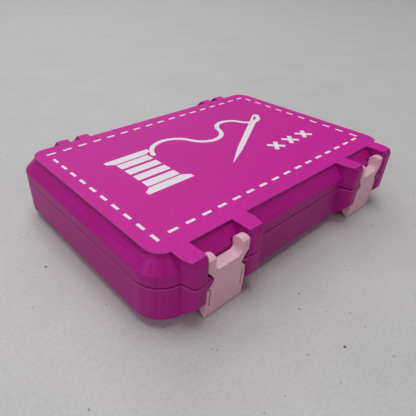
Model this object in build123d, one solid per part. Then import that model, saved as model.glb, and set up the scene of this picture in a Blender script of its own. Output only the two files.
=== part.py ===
from build123d import *
import math
import os

# A flat hinged storage box for sewing machine bobbins, printed in plastic.
# The lid turns on two pins behind the box, two latches swing on the front of the lid,
# and four rails inside hold the bobbins on edge.
# Axes: +X runs along the front from left to right, +Y to the hinges, +Z up.
# The origin lies on the table under the centre of the whole part. Units are millimetres.

# The two shells
length = 156.0
depth = 106.4
height = 30.6
lid_height = 11.1
corner_radius = 11.8
wall = 3.0
slope_wall = 2.6
roof = 2.4
floor = 2.4
top_band = 1.4
top_slope = 4.8
foot_slope = 4.7

# The seam: a tongue on the base stands inside the skirt of the lid
seam_gap = 0.45
skirt_thickness = 1.4
tongue_clearance = 0.25
tongue_rise = 1.5

# Ribs on the front that hold the latches
fitting_end_distance = 28.8
recess_half_width = 10.35
rib_front_half_width = 16.4
rib_root_half_width = 18.1
rib_reach = 5.5
rib_top_slope = 1.9
rib_corner_radius = 2.0
rib_inner_bevel = 1.0
nub_reach = 2.85
nub_height = 2.2
nub_tip_drop = 0.6
nub_land = 0.85
nub_setback = 0.5

# Latches
latch_side_clearance = 0.25
latch_back_gap = 0.35
latch_thickness = 4.3
latch_lean = 0.8
latch_foot = 0.4
latch_foot_slope = 2.7
ear_thickness = 3.6
ear_radius = 3.4
ear_back_depth = 0.45
ear_taper_drop = 2.2
ear_taper_width = 1.7
pivot_depth = 5.6
pivot_reach = 2.4
web_depth = 8.6
web_rise = 1.05
web_corner_radius = 2.4
waist_clearance = 0.4
hook_clearance = 0.6
shoulder_inset = 0.3
finger_thickness = 1.7
slit_width = 0.6
slit_length = 8.7
slit_bend_radius = 1.4
stub_radius = 1.6
stub_length = 1.5
stub_clearance = 0.07
scoop_clearance = 0.35

# Hinges behind the box
hinge_offset = 5.0
barrel_radius = 4.2
knuckle_width = 5.8
middle_knuckle_width = 4.9
knuckle_gap = 0.2
knuckle_top_inset = 0.8
pin_radius = 1.5
pin_grip_clearance = 0.02
pin_running_clearance = 0.08

# White inlays printed flush into the lid: a border of stitches round a sewing motif
inlay_depth = 0.6
stitch_end_margin = 6.15
stitch_front_margin = 8.5
stitch_rear_margin = 7.1
stitch_pitch = 8.1
stitch_start = 1.6
stitch_length = 4.3
stitch_width = 1.3
thread_width = 2.4
thread_waves = 4
thread_wave_shrink = 0.84
thread_wave_rise = 0.36
needle_length = 66.0
needle_width = 3.8
needle_shoulder_width = 2.7
needle_point_length = 16.5
needle_eye_length = 7.0
needle_eye_width = 1.5
needle_tilt = 31.0
needle_x = 22.0
needle_y = -2.5
spool_x = -40.0
spool_width = 24.0
spool_height = 34.0
spool_flange = 4.4
spool_core_inset = 3.4
spool_bands = 4
spool_band_gap = 1.8
cross_x = 36.0
cross_y = -20.0
cross_size = 9.0
cross_width = 2.2
cross_pitch = 11.5
cross_count = 3

# Rails that lie side by side in the base and hold the bobbins on edge
bobbin_diameter = 20.3
bobbin_thickness = 11.7
bobbin_clearance = 0.35
rail_gap = 0.3
rail_floor = 1.2
rail_count = 4
cradles_per_rail = 6
cheek = 1.8
cradle_rim_drop = 0.8

# Levels and planes worked out from the sizes above
fitting_x = length / 2 - fitting_end_distance
seam_z = height - lid_height
base_top = seam_z - seam_gap
tongue_top = seam_z + tongue_rise
rear_reach = hinge_offset + barrel_radius
shell_y = (rib_reach - rear_reach) / 2
front_wall_y = shell_y - depth / 2
rear_wall_y = shell_y + depth / 2
hinge_y = rear_wall_y + hinge_offset
pivot_y = front_wall_y - pivot_reach
pivot_z = height - pivot_depth
latch_half_width = recess_half_width - latch_side_clearance
latch_back = latch_back_gap
latch_front = latch_back_gap + latch_thickness
nub_half_width = recess_half_width - nub_reach
nub_tip_z = seam_z - nub_tip_drop
nub_slope = nub_reach / (nub_height + nub_tip_drop)
waist_half_width = nub_half_width - waist_clearance
shoulder_half_width = latch_half_width - shoulder_inset
roof_slope = top_slope + top_band + math.sqrt(2) * slope_wall - roof - wall
floor_slope = foot_slope + math.sqrt(2) * slope_wall - floor - wall
hinge_half_length = middle_knuckle_width / 2 + 2 * knuckle_gap + 2 * knuckle_width
stitch_line_length = length - 2 * top_slope - 2 * stitch_end_margin
stitch_line_depth = depth - 2 * top_slope - stitch_front_margin - stitch_rear_margin
design_y = shell_y + (stitch_front_margin - stitch_rear_margin) / 2
embed = wall / 2


def rounded_block(block_length, block_depth, radius, low, high):
    """Upright block with round corners between two levels, centred on the shells."""
    outline = Pos(0, shell_y, low) * RectangleRounded(block_length, block_depth, radius)
    return extrude(outline, high - low, dir=(0, 0, 1))


def inset_block(inset, low, high):
    """Block whose sides stand a constant distance inside the outer walls."""
    return rounded_block(length - 2 * inset, depth - 2 * inset, corner_radius - inset, low, high)


def side_prism(points, low_x, high_x):
    """Prism along X over a side profile given as (y, z) points."""
    plane = Plane(origin=(low_x, 0, 0), x_dir=(0, 1, 0), z_dir=(1, 0, 0))
    return extrude(plane * Polygon(*points, align=None), high_x - low_x, dir=(1, 0, 0))


def front_prism(face, far_y, near_y):
    """Prism along Y over a front view drawn in X and Z."""
    plane = Plane(origin=(0, far_y, 0), x_dir=(1, 0, 0), z_dir=(0, -1, 0))
    return extrude(plane * face, far_y - near_y, dir=(0, -1, 0))


def x_cylinder(radius, centre_y, centre_z, low_x, high_x):
    """Cylinder along X between two positions."""
    plane = Plane(origin=(low_x, centre_y, centre_z), x_dir=(0, 1, 0), z_dir=(1, 0, 0))
    return extrude(plane * Circle(radius), high_x - low_x, dir=(1, 0, 0))


def corner_near(face, x, y):
    """Corner of a flat outline that lies closest to a point."""
    return min(face.vertices(), key=lambda v: (v.X - x) ** 2 + (v.Y - y) ** 2)


def round_corners(face, corners):
    """Round several corners of a flat outline, each given as (x, y, radius)."""
    for x, y, radius in corners:
        face = fillet(corner_near(face, x, y), radius)
    return face


def front_profile(points):
    """Turn (reach out from the front wall, z) points into (y, z) points."""
    return [(front_wall_y - reach, z) for reach, z in points]


def rear_profile(points):
    """Turn (reach out from the rear wall, z) points into (y, z) points."""
    return [(rear_wall_y + reach, z) for reach, z in points]


def on_side(shape, centre_x, side):
    """Place a right-hand detail at a fitting, mirrored for the left-hand side."""
    if side < 0:
        shape = mirror(shape, about=Plane.YZ)
    return Pos(centre_x, 0, 0) * shape


def rib_column(low, high):
    """Right-hand front rib as an upright block: straight inside, tapered outside."""
    tip_y = front_wall_y - rib_reach
    root_y = front_wall_y + top_slope + embed
    plan = Polygon(
        (recess_half_width, root_y),
        (recess_half_width, tip_y),
        (rib_front_half_width, tip_y),
        (rib_root_half_width, front_wall_y),
        (rib_root_half_width, root_y),
        align=None,
    )
    plan = fillet(corner_near(plan, rib_front_half_width, tip_y), rib_corner_radius)
    plan = chamfer(corner_near(plan, recess_half_width, tip_y), rib_inner_bevel)
    return extrude(Pos(0, 0, low) * plan, high - low, dir=(0, 0, 1))


def lid_rib():
    """Right-hand rib of the lid with the upper flank of the nub in the latch's waist."""
    profile = front_profile([
        (-top_slope, height),
        (rib_reach - rib_top_slope, height),
        (rib_reach, height - rib_top_slope),
        (rib_reach, seam_z),
        (-embed, seam_z),
        (-embed, height - top_band - top_slope),
        (-top_slope, height - top_band),
    ])
    rib = rib_column(seam_z, height) & side_prism(profile, 0, rib_root_half_width)
    nub = Polygon(
        (recess_half_width + embed, seam_z + nub_height),
        (recess_half_width, seam_z + nub_height),
        (nub_half_width + nub_slope * nub_tip_drop, seam_z),
        (recess_half_width + embed, seam_z),
        align=None,
    )
    return rib + front_prism(nub, front_wall_y + embed, front_wall_y - rib_reach + nub_setback)


def base_rib():
    """Right-hand rib of the base with the nub's tip and the flank that the latch hooks under."""
    foot = nub_tip_z - nub_land
    profile = front_profile([
        (-embed, base_top),
        (rib_reach, base_top),
        (rib_reach, foot_slope + rib_reach),
        (-embed, foot_slope - embed),
    ])
    rib = rib_column(0, base_top) & side_prism(profile, 0, rib_root_half_width)
    nub = Polygon(
        (recess_half_width + embed, base_top),
        (nub_half_width + nub_slope * (base_top - nub_tip_z), base_top),
        (nub_half_width, nub_tip_z),
        (nub_half_width, foot),
        (recess_half_width, foot - nub_reach),
        (recess_half_width + embed, foot - nub_reach),
        align=None,
    )
    return rib + front_prism(nub, front_wall_y + embed, front_wall_y - rib_reach + nub_setback)


def lid_knuckle():
    """Right-hand hinge knuckle of the lid, centred on the hinge."""
    lean = barrel_radius / math.sqrt(2)
    profile = rear_profile([
        (-top_slope, height),
        (-knuckle_top_inset, height),
        (hinge_offset + lean, seam_z + lean),
        (hinge_offset, seam_z),
        (-embed, seam_z),
        (-embed, height - top_band - top_slope),
        (-top_slope, height - top_band),
    ])
    low = middle_knuckle_width / 2 + knuckle_gap
    high = low + knuckle_width
    return side_prism(profile, low, high) + x_cylinder(barrel_radius, hinge_y, seam_z, low, high)


def base_knuckle(low, high):
    """Hinge knuckle of the base between two positions, with its underside at 45 degrees."""
    lean = barrel_radius / math.sqrt(2)
    reach = hinge_offset + lean
    profile = rear_profile([
        (-embed, base_top),
        (hinge_offset, base_top),
        (reach, seam_z - lean),
        (0, seam_z - lean - reach),
        (-embed, seam_z - lean - reach),
    ])
    return side_prism(profile, low, high) + x_cylinder(barrel_radius, hinge_y, seam_z, low, high)


def pin_bore(centre_x, low, high, clearance):
    """Bore for a hinge pin between two positions measured from the hinge's middle."""
    radius = pin_radius + clearance
    return x_cylinder(radius, hinge_y, seam_z, centre_x + low, centre_x + high)


def lid_shell():
    """Lid: slab and slope on top, skirt below, ribs in front and knuckles behind."""
    slope_top = height - top_band
    body = inset_block(0, seam_z, slope_top)
    body = chamfer(body.faces().sort_by(Axis.Z)[-1].edges(), top_slope)
    body += inset_block(top_slope, slope_top - embed, height)
    cavity = inset_block(wall, seam_z, height - roof)
    body -= chamfer(cavity.faces().sort_by(Axis.Z)[-1].edges(), roof_slope)
    body -= inset_block(skirt_thickness, seam_z, tongue_top)
    for centre_x in (-fitting_x, fitting_x):
        for side in (-1, 1):
            body += on_side(lid_rib(), centre_x, side)
            body += on_side(lid_knuckle(), centre_x, side)
    for centre_x in (-fitting_x, fitting_x):
        socket_reach = latch_half_width + stub_length + stub_clearance
        body -= x_cylinder(stub_radius + stub_clearance, pivot_y, pivot_z,
                           centre_x - socket_reach, centre_x + socket_reach)
        scoop = x_cylinder(ear_radius + scoop_clearance, pivot_y, pivot_z,
                           latch_half_width - ear_thickness - scoop_clearance, recess_half_width)
        for side in (-1, 1):
            body -= on_side(scoop, centre_x, side)
        half_hinge = hinge_half_length + knuckle_gap
        body -= pin_bore(centre_x, -half_hinge, half_hinge, pin_running_clearance)
    return body


def base_shell():
    """Base: tray with a tongue round its rim, ribs in front and knuckles behind."""
    body = inset_block(0, 0, base_top)
    body = chamfer(body.faces().sort_by(Axis.Z)[0].edges(), foot_slope)
    body += inset_block(skirt_thickness + tongue_clearance, base_top - embed, tongue_top)
    cavity = inset_block(wall, floor, tongue_top)
    body -= chamfer(cavity.faces().sort_by(Axis.Z)[0].edges(), floor_slope)
    outer_low = middle_knuckle_width / 2 + 2 * knuckle_gap + knuckle_width
    for centre_x in (-fitting_x, fitting_x):
        for side in (-1, 1):
            body += on_side(base_rib(), centre_x, side)
            body += on_side(base_knuckle(outer_low, hinge_half_length), centre_x, side)
        half_middle = middle_knuckle_width / 2
        body += Pos(centre_x, 0, 0) * base_knuckle(-half_middle, half_middle)
        body -= pin_bore(centre_x, -hinge_half_length, hinge_half_length, pin_grip_clearance)
    return body


def hinge_pin(centre_x):
    """Plain pin that runs through all five knuckles of one hinge."""
    low = centre_x - hinge_half_length
    high = centre_x + hinge_half_length
    return x_cylinder(pin_radius, hinge_y, seam_z, low, high)


def latch_front_view():
    """Front outline of a latch: broad top, waist, hooking shoulders and finger lip."""
    top = pivot_z + ear_radius
    waist_top = nub_tip_z
    waist_bottom = nub_tip_z - nub_land - hook_clearance + waist_clearance
    drop = shoulder_half_width - waist_half_width
    taper_top = pivot_z - ear_taper_drop
    right = [
        (latch_half_width, top),
        (latch_half_width, taper_top),
        (latch_half_width - ear_taper_width, taper_top - ear_taper_width),
        (waist_half_width, waist_top),
        (waist_half_width, waist_bottom),
        (shoulder_half_width, waist_bottom - drop),
        (shoulder_half_width, latch_foot),
    ]
    left = [(-x, z) for x, z in reversed(right)]
    face = Polygon(*right, *left, align=None)
    corners = [
        (latch_half_width, taper_top, web_corner_radius / 2),
        (latch_half_width - ear_taper_width, taper_top - ear_taper_width, 2 * web_corner_radius),
        (waist_half_width, waist_top, web_corner_radius / 2),
    ]
    return round_corners(face, corners + [(-x, z, radius) for x, z, radius in corners])


def web_opening():
    """Opening between the two ears, whose rounded floor rises towards the lid."""
    ear_inner = latch_half_width - ear_thickness
    low = height - web_depth + web_rise
    outline = Polygon(
        (ear_inner, low),
        (ear_inner, height + ear_radius),
        (-ear_inner, height + ear_radius),
        (-ear_inner, low),
        align=None,
    )
    outline = round_corners(outline, [(x, low, web_corner_radius) for x in (ear_inner, -ear_inner)])
    plane = Plane(origin=(0, front_wall_y - latch_back, 0), x_dir=(1, 0, 0), z_dir=(0, -1, 0))
    slope = Vector(0, -latch_thickness, -web_rise)
    return extrude(plane * outline, slope.length, dir=slope.normalized())


def latch_side_profile():
    """Side profile of a latch: round-topped ear, leaning front and sloped finger lip."""
    back = front_wall_y - latch_back
    front = front_wall_y - latch_front
    lip = front + latch_lean
    plate = Polygon(
        (back, pivot_z),
        (back, latch_foot + latch_foot_slope),
        (back - latch_foot_slope, latch_foot),
        (lip, latch_foot),
        (front, seam_z),
        (front, pivot_z),
        align=None,
    )
    middle = (back + front) / 2
    crown = Pos(pivot_y, pivot_z) * Circle(ear_radius)
    crown &= Pos(middle, pivot_z + ear_radius) * Rectangle(latch_thickness, 2 * ear_radius)
    return plate + crown


def ear_disc():
    """Right-hand ear's back, which turns in a scoop in the lid: a disc cut flat before and behind."""
    disc = x_cylinder(ear_radius, pivot_y, pivot_z, latch_half_width - ear_thickness, latch_half_width)
    return disc & front_prism(latch_front_view(), front_wall_y + ear_back_depth, front_wall_y - latch_front)


def finger_slit():
    """Right-hand slit: enters from the edge, bends down and frees the spring finger."""
    slit_x = latch_half_width - finger_thickness - slit_width / 2
    drop = shoulder_half_width - waist_half_width
    mouth_z = nub_tip_z - nub_land - hook_clearance + waist_clearance - drop - slit_width
    bend = slit_bend_radius
    path = Line((latch_half_width + slit_width, mouth_z), (slit_x + bend, mouth_z))
    path += CenterArc((slit_x + bend, mouth_z - bend), bend, 90, 90)
    path += Line((slit_x, mouth_z - bend), (slit_x, mouth_z - slit_length))
    return trace(path, slit_width)


def latch(centre_x):
    """Snap latch that hangs from two stubs between a pair of lid ribs."""
    body = front_prism(latch_front_view(), front_wall_y, front_wall_y - rib_reach)
    side_plane = Plane(origin=(-recess_half_width, 0, 0), x_dir=(0, 1, 0), z_dir=(1, 0, 0))
    body &= extrude(side_plane * latch_side_profile(), 2 * recess_half_width, dir=(1, 0, 0))
    body -= web_opening()
    for side in (-1, 1):
        slit = front_prism(finger_slit(), front_wall_y + embed, front_wall_y - 2 * rib_reach)
        body -= on_side(slit, 0, side)
        stub = x_cylinder(stub_radius, pivot_y, pivot_z,
                          latch_half_width - embed, latch_half_width + stub_length)
        body += on_side(stub + ear_disc(), 0, side)
    return Pos(centre_x, 0, 0) * body


def cradle_cutter(width):
    """Half octagon that hugs a bobbin from below, its sides drawn up clear of the rail, along Y."""
    apothem = bobbin_diameter / 2 + bobbin_clearance
    flat = apothem * math.tan(math.pi / 8)
    outline = Polygon(
        (-flat, -apothem),
        (flat, -apothem),
        (apothem, -flat),
        (apothem, apothem),
        (-apothem, apothem),
        (-apothem, -flat),
        align=None,
    )
    return front_prism(outline, width / 2, -width / 2)


def bobbin_rail(number):
    """One rail: a thin floor strip and a bar with a row of open-topped cradles."""
    cradle_reach = bobbin_diameter / 2 + bobbin_clearance
    cradle_z = floor + rail_floor + cradle_reach
    rail_top = cradle_z - cradle_rim_drop
    rail_pitch = (depth - 2 * wall - rail_gap) / rail_count
    rail_y = shell_y + (number - (rail_count - 1) / 2) * rail_pitch
    rail_length = length - 2 * (wall + rail_gap)
    slot_width = bobbin_thickness + 2 * bobbin_clearance
    standing = (Align.CENTER, Align.CENTER, Align.MIN)
    strip = Box(rail_length, rail_pitch - rail_gap, rail_floor, align=standing)
    bar = Box(rail_length, slot_width + 2 * cheek, rail_top - floor, align=standing)
    envelope = inset_block(wall + rail_gap, floor, rail_top)
    envelope = chamfer(envelope.faces().sort_by(Axis.Z)[0].edges(), floor_slope)
    rail = (Pos(0, rail_y, floor) * (strip + bar)) & envelope
    cradle_pitch = rail_length / cradles_per_rail
    for place in range(cradles_per_rail):
        cradle_x = (place - (cradles_per_rail - 1) / 2) * cradle_pitch
        rail -= Pos(cradle_x, rail_y, cradle_z) * cradle_cutter(slot_width)
    return rail


def stitch_faces():
    """Dashes of one running stitch, walked at an even pitch round a rectangle."""
    sides = [
        ("rear", (-1, 1), (1, 0), stitch_line_length, 0),
        ("right", (1, 1), (0, -1), stitch_line_depth, 90),
        ("front", (1, -1), (-1, 0), stitch_line_length, 0),
        ("left", (-1, -1), (0, 1), stitch_line_depth, 90),
    ]
    stitch_count = int(2 * (stitch_line_length + stitch_line_depth) / stitch_pitch)
    rows = {}
    walked = 0
    for name, corner, step, side_length, turn in sides:
        start_x = corner[0] * stitch_line_length / 2
        start_y = corner[1] * stitch_line_depth / 2 + design_y
        dashes = []
        for number in range(stitch_count):
            along = stitch_start + number * stitch_pitch - walked
            if 0 <= along < side_length:
                place = Pos(start_x + step[0] * along, start_y + step[1] * along)
                dashes.append(place * Rot(0, 0, turn) * Rectangle(stitch_length, stitch_width))
        rows[name] = Sketch() + dashes
        walked += side_length
    return rows


def needle_face():
    """Sewing needle: slim body with a point at one end and an open eye at the other."""
    half = needle_width / 2
    shoulder = needle_shoulder_width / 2
    eye_end = needle_length / 2 - half
    shoulder_x = needle_point_length - needle_length / 2
    body = Polygon(
        (-needle_length / 2, 0),
        (shoulder_x, -shoulder),
        (eye_end, -half),
        (eye_end, half),
        (shoulder_x, shoulder),
        align=None,
    )
    body += Pos(eye_end, 0) * Circle(half)
    body -= Pos(eye_end - needle_eye_length / 2, 0) * SlotOverall(needle_eye_length, needle_eye_width)
    return body


def thread_face():
    """Thread in waves from the top of the spool to the needle's eye.

    Every wave is an arc of the same angle, shorter than the one before it, so they run smoothly on.
    """
    tilt = math.radians(needle_tilt)
    eye_reach = needle_length / 2 - needle_width / 2
    start = Vector(spool_x + spool_width / 2 - spool_core_inset + thread_width,
                   spool_height / 2 - spool_flange - thread_width)
    end = Vector(needle_x + eye_reach * math.cos(tilt), needle_y + eye_reach * math.sin(tilt))
    shares = [thread_wave_shrink ** number for number in range(thread_waves)]
    path = []
    point = start
    side = 1
    for share in shares:
        step = (end - start) * (share / sum(shares))
        path.append(SagittaArc(point, point + step, side * thread_wave_rise * step.length))
        point = point + step
        side = -side
    face = trace(path, thread_width)
    return face + Pos(start.X, start.Y) * Circle(thread_width / 2)


def needle_and_thread_face():
    """Needle with its thread, one connected white line."""
    needle = Pos(needle_x, needle_y) * Rot(0, 0, needle_tilt) * needle_face()
    return needle + thread_face()


def spool_face():
    """Thread spool seen from the side: two flanges and bands of wound thread."""
    core_width = spool_width - 2 * spool_core_inset
    core_height = spool_height - 2 * spool_flange
    band_pitch = core_height / spool_bands
    shapes = []
    for side in (-1, 1):
        flange = Polygon(
            (-spool_width / 2, side * spool_height / 2),
            (-spool_width / 2, side * (spool_height - spool_flange) / 2),
            (-core_width / 2, side * core_height / 2),
            (core_width / 2, side * core_height / 2),
            (spool_width / 2, side * (spool_height - spool_flange) / 2),
            (spool_width / 2, side * spool_height / 2),
            align=None,
        )
        shapes.append(flange)
    for number in range(spool_bands):
        band_y = (number - (spool_bands - 1) / 2) * band_pitch
        shapes.append(Pos(0, band_y) * Rectangle(core_width, band_pitch - spool_band_gap))
    return Pos(spool_x, 0) * (Sketch() + shapes)


def crosses_face():
    """Row of cross stitches."""
    crosses = []
    for number in range(cross_count):
        place = Pos(cross_x + (number - (cross_count - 1) / 2) * cross_pitch, cross_y)
        for turn in (-45, 45):
            crosses.append(place * Rot(0, 0, turn) * Rectangle(cross_size, cross_width))
    return Sketch() + crosses


def motif_faces():
    """Flat outlines of the sewing motif, centred inside the stitched border."""
    centre = Pos(0, design_y)
    return {
        "motif_needle": centre * needle_and_thread_face(),
        "motif_spool": centre * spool_face(),
        "motif_crosses": centre * crosses_face(),
    }


def inlay(face):
    """Thin plate that fills its pocket in the top of the lid."""
    return extrude(Pos(0, 0, height - inlay_depth) * face, inlay_depth, dir=(0, 0, 1))


inlays = {}
for side_name, face in stitch_faces().items():
    inlays["stitches_" + side_name] = inlay(face)
for motif_name, face in motif_faces().items():
    inlays[motif_name] = inlay(face)

lid = lid_shell()
for shape in inlays.values():
    lid -= shape

pieces = {
    "base_shell": base_shell(),
    "lid_shell": lid,
    "latch_left": latch(-fitting_x),
    "latch_right": latch(fitting_x),
    "hinge_pin_left": hinge_pin(-fitting_x),
    "hinge_pin_right": hinge_pin(fitting_x),
}
for number in range(rail_count):
    pieces["bobbin_rail_" + str(number + 1)] = bobbin_rail(number)
pieces.update(inlays)

os.makedirs("parts", exist_ok=True)
for name, shape in pieces.items():
    export_step(shape, "parts/" + name + ".step")
    print(name, round(shape.volume, 1), len(shape.solids()), shape.bounding_box())
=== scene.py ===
# A printed bobbin storage box, closed, standing on a pale table under soft light.
# Lengths are in metres, in the part's frame: +Z up, the origin in the middle of its underside.
import math

import bpy
from mathutils import Euler, Matrix, Vector

MM = 0.001

# Camera, at the photograph's viewing angle
CAMERA_PLACE = (-0.12853, -0.12396, 0.11152)
CAMERA_HEADING = 41.59
CAMERA_PITCH = 33.78
CAMERA_ROLL = 1.10
CAMERA_LENS = 33.69
CAMERA_SHIFT = 0.0625

# Printed surface
LAYER_HEIGHT = 0.2 * MM
LAYER_BULGE = 0.012 * MM
LINE_WIDTH = 0.42 * MM
LINE_BULGE = 0.01 * MM
GRAIN_SIZE = 0.7 * MM
GRAIN_BULGE = 0.016 * MM
CLOUD_SIZE = 30 * MM
FLAT_FACING = (0.96, 0.995)
PLASTIC_IOR = 1.46
PLASTIC_SPECULAR = 0.28

# Bands of height on the shells: painted highlights where the rims and top edges catch the light, each
# with a strength, painted shade at the seam, painted shade below the top
HIGHLIGHT_LEVELS = ((18.68 * MM, 19.0 * MM, 0.6), (30.38 * MM, 30.597 * MM, 0.4))
SEAM_SHADE = (19.52 * MM, 20.1 * MM)
SEAM_STRENGTH = 0.8
SEAM_DARKNESS = 0.12
TOP_SHADE = (27.8 * MM, 29.4 * MM)
TOP_STRENGTH = 0.35
TOP_DARKNESS = 0.35

# Edge rounding, with the levels of the rims that get a share of the widest one
WELD_REACH = 0.002 * MM
FLAT_ANGLE = 1
SHARP_ANGLE = 25
EDGE_ROUNDING = 0.22 * MM
RIM_ROUNDING = 0.50 * MM
RIM_LEVELS = ((19.05 * MM, 1.0), (19.5 * MM, 0.8))
RIM_TOLERANCE = 0.05 * MM

# The shells' round corners begin this far out in X and Y, and are printed as flats
CORNER_START = (66.2 * MM, 41.4 * MM)
SHELL_MIDDLE = -1.85 * MM
FACET_ANGLES = (4, 13)

# Boxes whose edges stay sharp: the inlaid field, and the steps where the outer ribs leave the lid
UNROUNDED = (
    ((-70 * MM, 70 * MM), (-45 * MM, 41 * MM), (29.6 * MM, 31 * MM)),
    ((-67.8 * MM, -66.1 * MM), (-50.4 * MM, -50.0 * MM), (29.6 * MM, 31 * MM)),
    ((66.1 * MM, 67.8 * MM), (-50.4 * MM, -50.0 * MM), (29.6 * MM, 31 * MM)),
)

# Colours, linear
MAGENTA = (0.62, 0.008, 0.34)
HIGHLIGHT_PINK = (0.90, 0.12, 0.58)
PALE_PINK = (0.95, 0.55, 0.67)
NEAR_WHITE = (0.96, 0.83, 0.91)
STEEL = (0.56, 0.57, 0.58)
TABLE_GREY = (0.65, 0.645, 0.64)
SPECK_BROWN = (0.10, 0.07, 0.06)

# Shares of a plastic's colour on walls and on flat faces: painted light and shade that make walls and
# flat faces lit and shaded copies of one colour
SHELL_LIGHT_SHARES = (0.79, 1.11)
LATCH_LIGHT_SHARES = (1.02, 0.95)
INLAY_LIGHT_SHARES = (1.0, 1.1)

# Table, and for each kind of speck the spacing, the size as a share of it and the strength
TABLE_RADIUS = 2.2
SWEEP_RADIUS = 1.2
SWEEP_HEIGHT = 3.2
SWEEP_STEPS = 12
TABLE_SIDES = 72
TABLE_CLOUD_SIZE = 50 * MM
TABLE_GRAIN_SIZE = 1.4 * MM
TABLE_GRAIN_BULGE = 0.15 * MM
SPECKS = ((15 * MM, 0.045, 1.0), (7.1 * MM, 0.08, 0.7), (4.3 * MM, 0.12, 0.45))

# Lamps: place, size across and power
LAMPS = {
    "overhead": ((0.0, 0.1, 2.9), 2.0, 32.5),
    "behind": ((0.9, 1.7, 2.0), 2.0, 16.5),
    "near": ((-0.5, 0.8, 1.2), 0.8, 2.4),
    "side": ((-1.3, -0.1, 0.6), 0.8, 3.0),
    "before": ((0.3, -2.2, 1.6), 2.0, 5.5),
}
ROOM_GREY = 0.005


def new_material(name):
    """A node material with one surface shader, its node tree and that shader."""
    material = bpy.data.materials.new(name)
    material.use_nodes = True
    tree = material.node_tree
    tree.nodes.clear()
    output = tree.nodes.new("ShaderNodeOutputMaterial")
    shader = tree.nodes.new("ShaderNodeBsdfPrincipled")
    tree.links.new(shader.outputs["BSDF"], output.inputs["Surface"])
    return material, tree, shader


def feed(tree, socket, value):
    """Puts a number, a vector or another node's output into a socket."""
    if isinstance(value, bpy.types.NodeSocket):
        tree.links.new(value, socket)
    else:
        socket.default_value = value


def maths(tree, operation, first, second=0.0):
    """A maths node's output."""
    node = tree.nodes.new("ShaderNodeMath")
    node.operation = operation
    feed(tree, node.inputs[0], first)
    feed(tree, node.inputs[1], second)
    return node.outputs[0]


def noise(tree, vector, size, detail=2.0, roughness=0.5):
    """Noise of 0 to 1 whose lumps are about the given size across."""
    node = tree.nodes.new("ShaderNodeTexNoise")
    feed(tree, node.inputs["Vector"], vector)
    node.inputs["Scale"].default_value = 1 / size
    node.inputs["Detail"].default_value = detail
    node.inputs["Roughness"].default_value = roughness
    return node.outputs["Fac"]


def scaled(tree, vector, scale):
    """A vector stretched along each axis."""
    node = tree.nodes.new("ShaderNodeVectorMath")
    node.operation = "MULTIPLY"
    feed(tree, node.inputs[0], vector)
    node.inputs[1].default_value = scale
    return node.outputs[0]


def between(tree, factor, low, high):
    """Carries a factor of 0 to 1 over to the range from low to high."""
    node = tree.nodes.new("ShaderNodeMapRange")
    feed(tree, node.inputs["Value"], factor)
    node.inputs["To Min"].default_value = low
    node.inputs["To Max"].default_value = high
    return node.outputs["Result"]


def ramp(tree, factor, low, high):
    """Rises from 0 to 1 as the factor goes from low to high."""
    node = tree.nodes.new("ShaderNodeMapRange")
    node.interpolation_type = "SMOOTHSTEP"
    feed(tree, node.inputs["Value"], factor)
    node.inputs["From Min"].default_value = low
    node.inputs["From Max"].default_value = high
    return node.outputs["Result"]


def within(tree, value, low, high):
    """1 where a value lies between two limits, and 0 elsewhere."""
    above = maths(tree, "GREATER_THAN", value, low)
    return maths(tree, "MULTIPLY", above, maths(tree, "LESS_THAN", value, high))


def mixed(tree, factor, first, second):
    """A blend of two colours."""
    node = tree.nodes.new("ShaderNodeMix")
    node.data_type = "RGBA"
    feed(tree, node.inputs[0], factor)
    feed(tree, node.inputs[6], first)
    feed(tree, node.inputs[7], second)
    return node.outputs[2]


def bump(tree, height, distance, below=None):
    """A bump of the given height in metres, on top of another bump's normal."""
    node = tree.nodes.new("ShaderNodeBump")
    feed(tree, node.inputs["Height"], height)
    node.inputs["Distance"].default_value = distance
    if below is not None:
        tree.links.new(below, node.inputs["Normal"])
    return node.outputs["Normal"]


def ridges(tree, distance, pitch):
    """Rounded ridges of 0 to 1 that repeat at the given pitch along a distance."""
    turns = maths(tree, "MULTIPLY", distance, math.pi / pitch)
    return maths(tree, "ABSOLUTE", maths(tree, "SINE", turns))


def shade(colour, factor):
    """A colour made lighter or darker, with an alpha of 1."""
    return tuple(min(1.0, channel * factor) for channel in colour) + (1.0,)


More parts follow.
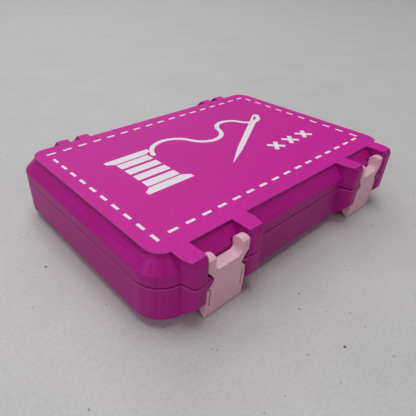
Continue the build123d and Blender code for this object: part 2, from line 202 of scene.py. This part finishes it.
def printed_plastic(name, colour, light_shares, layer_axis, roughness, contrast=1.0):
    """Layered printed plastic: layer lines on the walls, plate grain and laid lines on flat faces, and
    painted light and shade.
    """
    material, tree, shader = new_material(name)
    coordinates = tree.nodes.new("ShaderNodeTexCoord")
    place = coordinates.outputs["Object"]
    split_place = tree.nodes.new("ShaderNodeSeparateXYZ")
    tree.links.new(place, split_place.inputs[0])
    split_normal = tree.nodes.new("ShaderNodeSeparateXYZ")
    tree.links.new(coordinates.outputs["Normal"], split_normal.inputs[0])
    along = split_place.outputs[layer_axis]
    facing = maths(tree, "ABSOLUTE", split_normal.outputs[layer_axis])
    flat = ramp(tree, facing, *FLAT_FACING)

    # Each layer differs a little from the next, and so do bands of some layers
    stretch = [60.0, 60.0, 60.0]
    stretch["XYZ".index(layer_axis)] = 1 / (1.6 * LAYER_HEIGHT)
    layers = noise(tree, scaled(tree, place, stretch), 1.0, 1.0)
    stretch["XYZ".index(layer_axis)] = 1 / (5 * LAYER_HEIGHT)
    bands = noise(tree, scaled(tree, place, stretch), 1.0, 2.0, 0.7)
    clouds = noise(tree, place, CLOUD_SIZE, 3.0)
    grain = noise(tree, place, GRAIN_SIZE, 3.0, 0.7)
    # Painted light and shade: a tone that changes with each flat's facing, for facets that catch the
    # light differently
    facets = noise(tree, coordinates.outputs["Normal"], 0.08, 1.0)

    # Lines laid side by side at 45 degrees on faces that lie flat between layers
    across = maths(tree, "ADD", split_place.outputs["X"], split_place.outputs["Y"])
    lines = ridges(tree, across, LINE_WIDTH * math.sqrt(2))

    wall_tone = maths(tree, "ADD", between(tree, layers, -0.9, 0.9), between(tree, bands, -0.9, 0.9))
    wall_tone = maths(tree, "ADD", wall_tone, between(tree, facets, -1.8, 1.8))
    flat_tone = maths(tree, "ADD", between(tree, grain, -3.4, 3.4), between(tree, clouds, -0.6, 0.6))
    tone = tree.nodes.new("ShaderNodeMix")
    feed(tree, tone.inputs[0], flat)
    feed(tree, tone.inputs[2], wall_tone)
    feed(tree, tone.inputs[3], flat_tone)
    lightness = between(tree, maths(tree, "ADD", tone.outputs[0], 0.5), 0.0, 1.0)
    # Painted light and shade: walls and flat faces take lighter and darker shares of one colour
    wall_light_share, flat_light_share = light_shares
    swing = 0.10 * contrast
    dark = mixed(tree, flat, shade(colour, wall_light_share - swing), shade(colour, flat_light_share - swing))
    light = mixed(tree, flat, shade(colour, wall_light_share + swing), shade(colour, flat_light_share + swing))
    base = mixed(tree, lightness, dark, light)
    if layer_axis == "Z":
        # Painted shade darkens the walls below the lid's top, painted highlights make the rims and top
        # edges paler, and painted shade darkens the seam
        walls = maths(tree, "SUBTRACT", 1.0, flat)
        # Painted shade: a darker band on the walls just below the lid's top edge
        upper = maths(tree, "MULTIPLY", ramp(tree, along, *TOP_SHADE), walls)
        upper = maths(tree, "MULTIPLY", upper, TOP_STRENGTH)
        base = mixed(tree, upper, base, shade(colour, TOP_DARKNESS))
        # Painted highlights: paler pink bands where the rims and top edges catch the light
        for low, high, strength in HIGHLIGHT_LEVELS:
            highlight = maths(tree, "MULTIPLY", within(tree, along, low, high), strength)
            base = mixed(tree, highlight, base, HIGHLIGHT_PINK + (1.0,))
        # Painted shade: a dark band at the seam, where the gap between lid and base lies in shadow
        shaded = maths(tree, "MULTIPLY", within(tree, along, *SEAM_SHADE), SEAM_STRENGTH)
        base = mixed(tree, shaded, base, shade(colour, SEAM_DARKNESS))
    feed(tree, shader.inputs["Base Color"], base)

    sheen = between(tree, layers, roughness - 0.07, roughness + 0.07)
    matt = between(tree, grain, roughness + 0.02, roughness + 0.20)
    gloss = tree.nodes.new("ShaderNodeMix")
    feed(tree, gloss.inputs[0], flat)
    feed(tree, gloss.inputs[2], sheen)
    feed(tree, gloss.inputs[3], matt)
    feed(tree, shader.inputs["Roughness"], gloss.outputs[0])

    # Layer ridges show on walls, laid lines on flat faces and a fine grain on both
    height = ridges(tree, along, LAYER_HEIGHT)
    normal = bump(tree, height, LAYER_BULGE)
    normal = bump(tree, layers, 2 * LAYER_BULGE, normal)
    normal = bump(tree, grain, GRAIN_BULGE, normal)
    laid = maths(tree, "MULTIPLY", lines, flat)
    normal = bump(tree, laid, LINE_BULGE, normal)
    feed(tree, shader.inputs["Normal"], normal)
    shader.inputs["IOR"].default_value = PLASTIC_IOR
    shader.inputs["Specular IOR Level"].default_value = PLASTIC_SPECULAR
    return material


def drawn_steel():
    """Drawn wire for the hinge pins, with fine lines along it."""
    material, tree, shader = new_material("drawn_steel")
    coordinates = tree.nodes.new("ShaderNodeTexCoord")
    streaks = noise(tree, scaled(tree, coordinates.outputs["Object"], (80.0, 6000.0, 6000.0)), 1.0, 3.0)
    feed(tree, shader.inputs["Base Color"], mixed(tree, streaks, shade(STEEL, 0.8), shade(STEEL, 1.15)))
    feed(tree, shader.inputs["Roughness"], between(tree, streaks, 0.25, 0.45))
    feed(tree, shader.inputs["Normal"], bump(tree, streaks, 0.01 * MM))
    shader.inputs["Metallic"].default_value = 1.0
    return material


def table_top():
    """A pale matt table with faint clouds, a fine grain and tiny dark specks."""
    material, tree, shader = new_material("pale_table")
    coordinates = tree.nodes.new("ShaderNodeTexCoord")
    place = coordinates.outputs["Object"]
    clouds = noise(tree, place, TABLE_CLOUD_SIZE, 8.0, 0.75)
    grain = noise(tree, place, TABLE_GRAIN_SIZE, 3.0, 0.6)
    mottle = maths(tree, "ADD", between(tree, clouds, -0.8, 1.3), between(tree, grain, -0.8, 1.3))
    surface = mixed(tree, mottle, shade(TABLE_GREY, 0.93), shade(TABLE_GREY, 1.07))
    for spacing, size, strength in SPECKS:
        specks = tree.nodes.new("ShaderNodeTexVoronoi")
        feed(tree, specks.inputs["Vector"], place)
        specks.inputs["Scale"].default_value = 1 / spacing
        speck = ramp(tree, specks.outputs["Distance"], size, size * 0.5)
        split_tint = tree.nodes.new("ShaderNodeSeparateColor")
        tree.links.new(specks.outputs["Color"], split_tint.inputs[0])
        dark = maths(tree, "MULTIPLY", ramp(tree, split_tint.outputs[0], 0.45, 1.0), strength)
        surface = mixed(tree, maths(tree, "MULTIPLY", speck, dark), surface, shade(SPECK_BROWN, 1.0))
    feed(tree, shader.inputs["Base Color"], surface)
    feed(tree, shader.inputs["Roughness"], between(tree, clouds, 0.5, 0.62))
    feed(tree, shader.inputs["Normal"], bump(tree, grain, TABLE_GRAIN_BULGE))
    return material


def edge_marks(name, attribute, data_type, rule):
    """A modifier group that stores on each edge what a rule makes of its place and outward angle."""
    tree = bpy.data.node_groups.new(name, "GeometryNodeTree")
    tree.interface.new_socket("Geometry", in_out="INPUT", socket_type="NodeSocketGeometry")
    tree.interface.new_socket("Geometry", in_out="OUTPUT", socket_type="NodeSocketGeometry")
    start = tree.nodes.new("NodeGroupInput")
    end = tree.nodes.new("NodeGroupOutput")
    angle = tree.nodes.new("GeometryNodeInputMeshEdgeAngle").outputs["Signed Angle"]
    position = tree.nodes.new("GeometryNodeInputPosition")
    split = tree.nodes.new("ShaderNodeSeparateXYZ")
    tree.links.new(position.outputs[0], split.inputs[0])
    store = tree.nodes.new("GeometryNodeStoreNamedAttribute")
    store.data_type = data_type
    store.domain = "EDGE"
    store.inputs["Name"].default_value = attribute
    tree.links.new(start.outputs[0], store.inputs["Geometry"])
    feed(tree, store.inputs["Value"], rule(tree, split.outputs, angle))
    tree.links.new(store.outputs["Geometry"], end.inputs[0])
    return tree


def rounding_share(tree, place, angle):
    """Each sharp edge's share of the widest rounding: most on the rims, none on the inlays."""
    sharp = maths(tree, "GREATER_THAN", angle, math.radians(SHARP_ANGLE))
    for field in UNROUNDED:
        inside = 1.0
        for axis, (low, high) in enumerate(field):
            inside = maths(tree, "MULTIPLY", inside, within(tree, place[axis], low, high))
        sharp = maths(tree, "MULTIPLY", sharp, maths(tree, "SUBTRACT", 1.0, inside))
    share = EDGE_ROUNDING / RIM_ROUNDING
    for level, part in RIM_LEVELS:
        near = within(tree, place["Z"], level - RIM_TOLERANCE, level + RIM_TOLERANCE)
        share = maths(tree, "MAXIMUM", share, maths(tree, "MULTIPLY", near, part))
    return maths(tree, "MULTIPLY", sharp, share)


def corner_facets(tree, place, angle):
    """1 on the low edges between the flats that a printed round corner is made of."""
    beyond = maths(tree, "GREATER_THAN", maths(tree, "ABSOLUTE", place["X"]), CORNER_START[0])
    outward = maths(tree, "ABSOLUTE", maths(tree, "SUBTRACT", place["Y"], SHELL_MIDDLE))
    corner = maths(tree, "MULTIPLY", beyond, maths(tree, "GREATER_THAN", outward, CORNER_START[1]))
    low, high = (math.radians(limit) for limit in FACET_ANGLES)
    return maths(tree, "MULTIPLY", corner, within(tree, angle, low, high))


def round_edges(node, marks, facets):
    """Softens a piece's sharp edges the way a printed edge is, and keeps its flat faces flat."""
    weld = node.modifiers.new("weld", "WELD")
    weld.merge_threshold = WELD_REACH
    flat = node.modifiers.new("flat_faces", "DECIMATE")
    flat.decimate_type = "DISSOLVE"
    flat.angle_limit = math.radians(FLAT_ANGLE)
    marked = node.modifiers.new("sharp_edges", "NODES")
    marked.node_group = marks
    bevel = node.modifiers.new("edge_rounding", "BEVEL")
    bevel.width = RIM_ROUNDING
    bevel.segments = 2
    bevel.limit_method = "WEIGHT"
    bevel.use_clamp_overlap = False
    bevel.loop_slide = False
    bevel.face_strength_mode = "FSTR_ALL"
    faceted = node.modifiers.new("corner_facets", "NODES")
    faceted.node_group = facets
    normals = node.modifiers.new("face_normals", "WEIGHTED_NORMAL")
    normals.use_face_influence = True
    normals.keep_sharp = True


def dress(nodes):
    """Gives each piece its material, and all but the inlays their softened edges."""
    magenta = printed_plastic("printed_magenta", MAGENTA, SHELL_LIGHT_SHARES, "Z", 0.42)
    pink = printed_plastic("printed_pale_pink", PALE_PINK, LATCH_LIGHT_SHARES, "Y", 0.46, 0.7)
    white = printed_plastic("printed_near_white", NEAR_WHITE, INLAY_LIGHT_SHARES, "Z", 0.42, 0.4)
    steel = drawn_steel()
    marks = edge_marks("edge_rounding", "bevel_weight_edge", "FLOAT", rounding_share)
    facets = edge_marks("corner_facets", "sharp_edge", "BOOLEAN", corner_facets)
    finishes = {
        "base_shell": magenta,
        "lid_shell": magenta,
        "bobbin_rail": magenta,
        "latch": pink,
        "hinge_pin": steel,
        "stitches": white,
        "motif": white,
    }
    for name, node in nodes.items():
        finish = next(finishes[start] for start in finishes if name.startswith(start))
        node.data.materials.clear()
        node.data.materials.append(finish)
        if finish is not white:
            round_edges(node, marks, facets)


def make_table():
    """The pale table that the box stands on, which curves up into a wall far away all round."""
    outline = [(TABLE_RADIUS, 0.0)]
    for step in range(1, SWEEP_STEPS + 1):
        turn = math.pi / 2 * step / SWEEP_STEPS
        reach = TABLE_RADIUS + SWEEP_RADIUS * math.sin(turn)
        outline.append((reach, SWEEP_RADIUS * (1 - math.cos(turn))))
    outline.append((TABLE_RADIUS + SWEEP_RADIUS, SWEEP_HEIGHT))
    corners = []
    for radius, level in outline:
        for side in range(TABLE_SIDES):
            turn = 2 * math.pi * side / TABLE_SIDES
            corners.append((radius * math.cos(turn), radius * math.sin(turn), level))
    faces = [tuple(range(TABLE_SIDES))]
    for ring in range(len(outline) - 1):
        for side in range(TABLE_SIDES):
            first = ring * TABLE_SIDES + side
            second = ring * TABLE_SIDES + (side + 1) % TABLE_SIDES
            faces.append((first, first + TABLE_SIDES, second + TABLE_SIDES, second))
    mesh = bpy.data.meshes.new("table")
    mesh.from_pydata(corners, [], faces)
    mesh.shade_smooth()
    table = bpy.data.objects.new("table", mesh)
    bpy.context.scene.collection.objects.link(table)
    mesh.materials.append(table_top())


def make_light():
    """Broad soft lights overhead, behind and before, two nearer ones on the left, and a dim room."""
    for name, (place, size, power) in LAMPS.items():
        light = bpy.data.lights.new(name, "AREA")
        light.shape = "DISK"
        light.size = size
        light.energy = power
        lamp = bpy.data.objects.new(name, light)
        lamp.location = place
        lamp.rotation_euler = (-Vector(place)).to_track_quat("-Z", "Y").to_euler()
        lamp.visible_camera = False
        bpy.context.scene.collection.objects.link(lamp)
    room = bpy.data.worlds.new("room")
    room.use_nodes = True
    background = room.node_tree.nodes["Background"]
    background.inputs["Color"].default_value = (1.0, 1.0, 1.0, 1.0)
    background.inputs["Strength"].default_value = ROOM_GREY
    bpy.context.scene.world = room


def make_camera():
    """The camera, placed as the photograph was taken."""
    data = bpy.data.cameras.new("camera")
    data.lens = CAMERA_LENS
    data.shift_x = CAMERA_SHIFT
    data.clip_start = 0.01
    camera = bpy.data.objects.new("camera", data)
    camera.location = CAMERA_PLACE
    aim = Euler((math.radians(90 - CAMERA_PITCH), 0, math.radians(-CAMERA_HEADING))).to_matrix()
    camera.rotation_euler = (aim @ Matrix.Rotation(math.radians(CAMERA_ROLL), 3, "Z")).to_euler()
    bpy.context.scene.collection.objects.link(camera)
    bpy.context.scene.camera = camera


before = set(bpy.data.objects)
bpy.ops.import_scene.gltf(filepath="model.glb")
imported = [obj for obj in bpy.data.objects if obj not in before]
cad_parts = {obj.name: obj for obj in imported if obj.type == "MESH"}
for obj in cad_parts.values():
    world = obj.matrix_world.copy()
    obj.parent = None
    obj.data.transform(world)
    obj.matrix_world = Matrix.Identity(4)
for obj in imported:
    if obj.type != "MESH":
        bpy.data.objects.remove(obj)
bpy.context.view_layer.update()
make_camera()
make_table()
make_light()
dress(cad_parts)
bpy.context.scene.view_settings.view_transform = "Standard"
